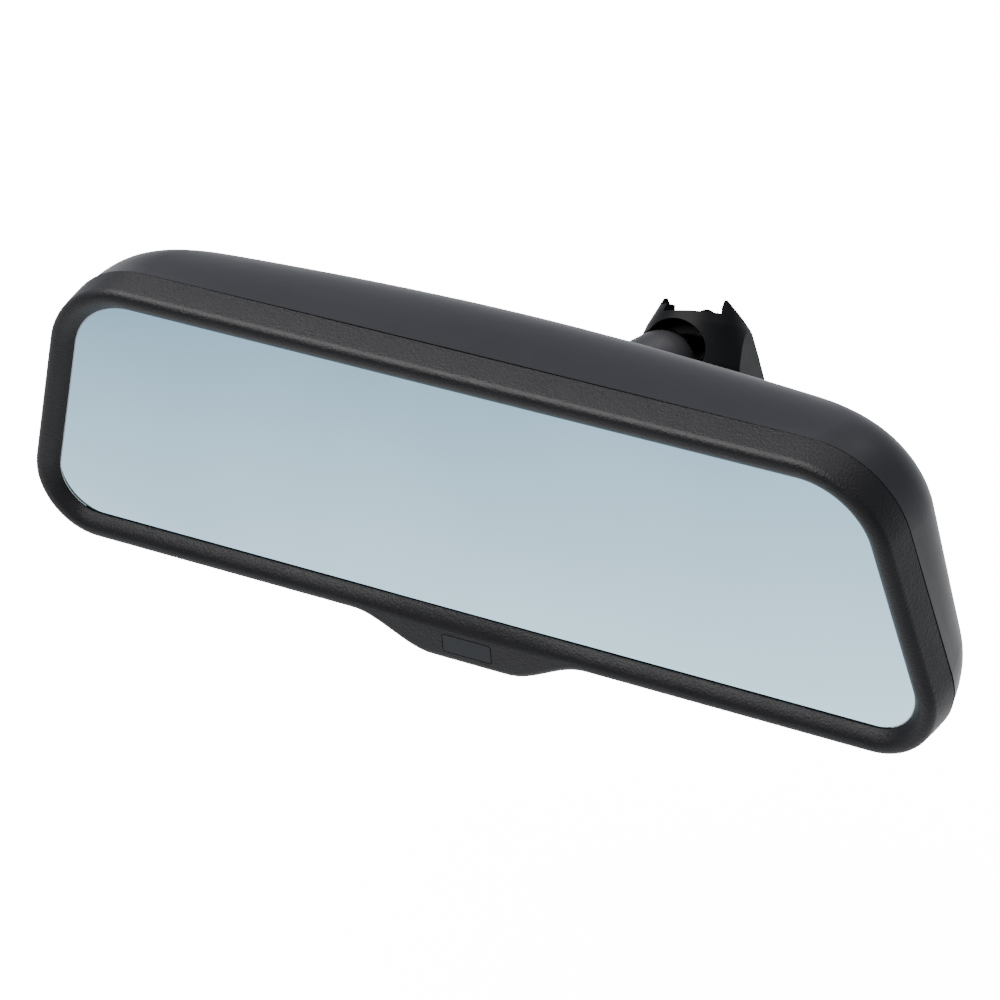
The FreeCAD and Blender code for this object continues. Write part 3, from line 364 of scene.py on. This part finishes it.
# The trim's section. Its face lies PANE_PROUD behind the window's. The lip starts LIP_START in front of
# the glass, goes straight out to GAP_HIGH, is broken by LIP_BREAK and swells to its crest, CREST_IN from
# the opening. The outer edge is rounded by EDGE and the side wall leans. Behind the glass's face the
# frame is open to SEAT outside the opening, where the glass lies.
PANE_PROUD = 0.04 * MM
FACE = FRONT + PANE_PROUD
LIP_START, LIP_BREAK, GAP_HIGH, LIP_FULLNESS, LIP_STEPS = 0.02 * MM, 0.12 * MM, 0.35 * MM, 0.9, 12
CREST_IN, FACE_STEPS = 3.6 * MM, 5
EDGE, EDGE_STEPS, WALL_LEAN, WALL_STEPS = 2.0 * MM, 8, math.tan(math.radians(3.5)), 2
BACK_BREAK, SEAT = 0.3 * MM, 2.6 * MM

# The chin: half its level part, half its whole width, how much of it the crest follows, and the height
# below which the outline's points follow it, as a share of the half height.
CHIN_FLAT, CHIN_SHOULDER = 10.5 * MM, 32.0 * MM
CREST_HANG, CHIN_BELOW = 0.12, -0.9


def chin(x):
    """How far the lower edge hangs down at x: a level tongue between two soft shoulders."""
    share = min(1.0, max(0.0, (CHIN_SHOULDER - abs(x)) / (CHIN_SHOULDER - CHIN_FLAT)))
    return CHIN_DROP * share * share * (3 - 2 * share)


def bezel_ring(grow, y, hang):
    """The outline at one step of the rim's section; hang is how much of the chin this step follows."""
    return [(p.x, y, p.y - (hang * chin(p.x) if p.y < CHIN_BELOW * HALF_HEIGHT else 0.0))
            for p in outline(grow)]


def bezel_section():
    """Steps (grow, depth, share of the chin) round the rim, from the glass over the crest to the back."""
    foot = -GAP_HIGH - LIP_BREAK
    section = [(0.0, -LIP_START, 0.0), (0.0, -GAP_HIGH, 0.0), (LIP_BREAK, foot, 0.0)]
    for i in range(1, LIP_STEPS + 1):
        share = i / LIP_STEPS
        swell = math.sin(math.pi / 2 * share) ** LIP_FULLNESS
        section.append((LIP_BREAK + (CREST_IN - LIP_BREAK) * share, foot + (FACE - foot) * swell,
                        CREST_HANG * share))
    front_rim = RIM - WALL_LEAN * (BACK - FRONT)
    for i in range(1, FACE_STEPS + 1):
        share = i / FACE_STEPS
        section.append((CREST_IN + (front_rim - EDGE - CREST_IN) * share, FACE,
                        CREST_HANG + (1 - CREST_HANG) * share))
    for i in range(1, EDGE_STEPS + 1):
        angle = math.pi / 2 * i / EDGE_STEPS
        section.append((front_rim - EDGE + EDGE * math.sin(angle),
                        FACE + EDGE * (1 - math.cos(angle)), 1.0))
    for i in range(1, WALL_STEPS + 1):
        depth = FRONT + EDGE + (BACK - FRONT - EDGE) * i / WALL_STEPS
        section.append((RIM - WALL_LEAN * (BACK - depth), depth, 1.0))
    return section + [(RIM - BACK_BREAK, BACK, 1.0), (SEAT, BACK, 0.0), (SEAT, 0.0, 0.0)]


rings = [bezel_ring(*step) for step in bezel_section()]
finish_piece(skin("trim_frame", rings + rings[:1]), "bezel", "grained_trim")

PANE_CORNER, PANE_EDGE, CORNER_STEPS = 0.5 * MM, 0.08 * MM, 6
SEAM, SEAM_FRONT = 0.14 * MM, FRONT + PANE_EDGE / 4


def window_ring(grow, y):
    """The window's outline, a rectangle with rounded corners, moved outwards by grow, at one depth."""
    ring = []
    for turn, (sign_x, sign_z) in enumerate(((1, 1), (-1, 1), (-1, -1), (1, -1))):
        across = (WINDOW_HIGH.x if sign_x > 0 else WINDOW_LOW.x) - sign_x * PANE_CORNER
        up = (WINDOW_HIGH.z if sign_z > 0 else WINDOW_LOW.z) - sign_z * PANE_CORNER
        for i in range(CORNER_STEPS + 1):
            angle = math.pi / 2 * (turn + i / CORNER_STEPS)
            ring.append((across + (PANE_CORNER + grow) * math.cos(angle), y,
                         up + (PANE_CORNER + grow) * math.sin(angle)))
    return ring


pane = skin("sensor_pane", [window_ring(0.0, WINDOW_HIGH.y), window_ring(0.0, FRONT + PANE_EDGE),
                            window_ring(-PANE_EDGE, FRONT)], capped=True)
finish_piece(pane, "sensor_window", "smoked_window")
# A near-black ring, SEAM wide on each side of the window's edge: painted shade in the gap between the
# window and the trim.
window_shade_ring = skin("window_painted_shade", [window_ring(SEAM, FACE + SEAM), window_ring(SEAM, SEAM_FRONT),
                            window_ring(-SEAM, SEAM_FRONT), window_ring(-SEAM, FACE + SEAM)])
window_shade_ring.data.materials.append(MATERIALS["painted_dark_line"])
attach(window_shade_ring, "head")


# ---------------------------------------------------------------- floor, light and camera

# The floor is a square of cells, FLOOR_DROP below the glass centre at its middle. It glows, so that the
# background is white, and is hidden from bounced and reflected rays, so that it lights no silhouette.
FLOOR_DROP, FLOOR_HALF, FLOOR_RISE, FLOOR_CELLS = 0.16, 4.0, 1.2, 32
FLOOR_TONES, FLOOR_ROUGH, FLOOR_MOTTLE = ((0.86, 0.86, 0.86), (0.88, 0.88, 0.88)), (0.7, 0.8), 0.6
FLOOR_GLOW = 14.0


def studio_floor():
    """A plain pale floor, dished so that its rim rises and fills the background of level views."""
    mesh = bmesh.new()
    rows = []
    for j in range(FLOOR_CELLS + 1):
        y = FLOOR_HALF * (2 * j / FLOOR_CELLS - 1)
        row = []
        for i in range(FLOOR_CELLS + 1):
            x = FLOOR_HALF * (2 * i / FLOOR_CELLS - 1)
            rise = FLOOR_RISE * (math.hypot(x, y) / FLOOR_HALF) ** 4
            row.append(mesh.verts.new(HEAD + Vector((x, y, rise - FLOOR_DROP))))
        rows.append(row)
    for near, far in zip(rows, rows[1:]):
        for i in range(FLOOR_CELLS):
            mesh.faces.new((near[i], near[i + 1], far[i + 1], far[i]))
    data = bpy.data.meshes.new("studio_floor")
    mesh.to_mesh(data)
    mesh.free()
    data.shade_smooth()
    floor = bpy.data.objects.new("studio_floor", data)
    bpy.context.scene.collection.objects.link(floor)
    plastic("studio_paper", *FLOOR_TONES, FLOOR_ROUGH, mottle=FLOOR_MOTTLE)
    paper = MATERIALS["studio_paper"]
    shader = paper.node_tree.nodes["Principled BSDF"]
    shader.inputs["Emission Color"].default_value = (1, 1, 1, 1)
    shader.inputs["Emission Strength"].default_value = FLOOR_GLOW
    data.materials.append(paper)
    floor.visible_glossy = False
    floor.visible_diffuse = False


def area_light(name, spot, target, wide, high, power, colour=(1, 1, 1)):
    """A rectangular light at spot, turned to target, both measured from the glass centre."""
    data = bpy.data.lights.new(name, "AREA")
    data.shape = "RECTANGLE"
    data.size, data.size_y = wide, high
    data.energy = power
    data.color = colour
    light = bpy.data.objects.new(name, data)
    light.location = HEAD + Vector(spot)
    light.rotation_euler = (Vector(target) - Vector(spot)).to_track_quat("-Z", "Y").to_euler()
    bpy.context.scene.collection.objects.link(light)


studio_floor()
area_light("key_above", spot=(-0.5, -0.1, 1.3), target=(0, 0, 0), wide=1.6, high=1.2, power=70.0,
           colour=(1.0, 0.99, 0.98))
area_light("fill_front", spot=(0.9, -1.2, 0.5), target=(0, 0, 0), wide=1.0, high=1.0, power=1.5,
           colour=(1.0, 0.97, 0.94))
area_light("corner_glint", spot=(0.24, 1.12, 1.10), target=(0.1, 0, 0.02), wide=0.30, high=0.30, power=3.5)

# The air round the object is bright below and dim above, changing between two heights of direction.
AIR_BELOW, AIR_ABOVE = (2.3, 2.35, 2.4), (0.34, 0.38, 0.45)
AIR_FROM, AIR_TO = -0.7, 0.25
world = bpy.data.worlds.new("studio_air")
bpy.context.scene.world = world
world.use_nodes = True
air = world.node_tree
direction = add(air, "ShaderNodeTexCoord").outputs["Generated"]
around = add(air, "ShaderNodeSeparateXYZ", [("Vector", direction)])
tall = add(air, "ShaderNodeMapRange", [("Value", around.outputs["Z"]), ("From Min", AIR_FROM),
                                       ("From Max", AIR_TO)])
air.links.new(ramp(air, tall.outputs[0], AIR_BELOW, AIR_ABOVE, 0.0, 1.0),
              air.nodes["Background"].inputs["Color"])

# The camera stands where the photograph was taken from, found from the glass's known outline.
CAMERA_SPOT = Vector((0.47344, -0.73762, 0.59221))
VIEW_RIGHT, VIEW_UP = Vector((0.86850, 0.49111, -0.06717)), Vector((-0.22768, 0.51561, 0.82602))
LENS_MM, SENSOR_MM, NEAREST, FARTHEST = 162.0, 36.0, 0.05, 50.0
lens = bpy.data.cameras.new("photo_camera")
lens.lens, lens.sensor_width = LENS_MM, SENSOR_MM
lens.clip_start, lens.clip_end = NEAREST, FARTHEST
eye = bpy.data.objects.new("photo_camera", lens)
turn = Matrix((VIEW_RIGHT, VIEW_UP, VIEW_RIGHT.cross(VIEW_UP))).transposed().to_4x4()
eye.matrix_world = Matrix.Translation(HEAD + CAMERA_SPOT) @ turn
bpy.context.scene.collection.objects.link(eye)
bpy.context.scene.camera = eye
